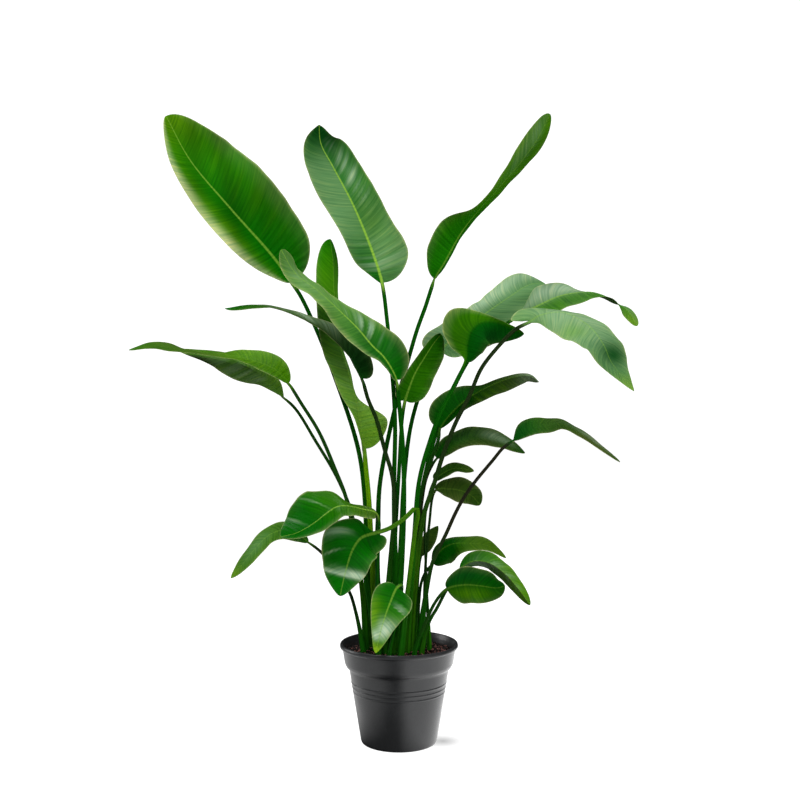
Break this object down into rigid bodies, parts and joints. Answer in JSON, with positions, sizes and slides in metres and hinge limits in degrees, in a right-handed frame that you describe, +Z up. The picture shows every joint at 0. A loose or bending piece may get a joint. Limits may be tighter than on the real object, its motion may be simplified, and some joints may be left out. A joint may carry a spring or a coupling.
{
  "type": "potted bird of paradise",
  "caption": "Tall leafy house plant with broad paddle leaves on long arching stalks, standing in soil in a round tapered nursery pot.",
  "frame": {"origin": "middle of the pot's underside, where it stands", "axes": "+Z up along the pot's axis, -Y toward the side that the tall leaves face, +X to the right as seen from there"},
  "size_m": [1.0222, 0.4287, 1.2508],
  "materials": {
    "pot": "dark grey satin plastic",
    "soil": "loose dark potting mix with bits of bark",
    "leaf": "waxy green leaf with a pale midrib and fine side veins"
  },
  "bodies": {
    "root": {"pot": "pot", "soil": "soil", "leaf_tall_left": "leaf", "leaf_tall_middle": "leaf", "leaf_tall_right": "leaf", "leaf_narrow": "leaf", "leaf_diagonal": "leaf", "leaf_left_upper": "leaf", "leaf_left_lower": "leaf", "leaf_left_under": "leaf", "leaf_right_round": "leaf", "leaf_right_middle": "leaf", "leaf_right_long": "leaf", "leaf_right_back": "leaf", "leaf_right_tip": "leaf", "leaf_middle": "leaf", "leaf_right_arched": "leaf", "leaf_far_right": "leaf", "leaf_small_upper": "leaf", "leaf_small_lower": "leaf", "leaf_low_right_back": "leaf", "leaf_low_right_long": "leaf", "leaf_low_right_round": "leaf", "leaf_small_back": "leaf", "leaf_low_left_upper": "leaf", "leaf_low_left_far": "leaf", "leaf_low_left_front": "leaf", "leaf_low_front": "leaf"}
  },
  "joints": []
}
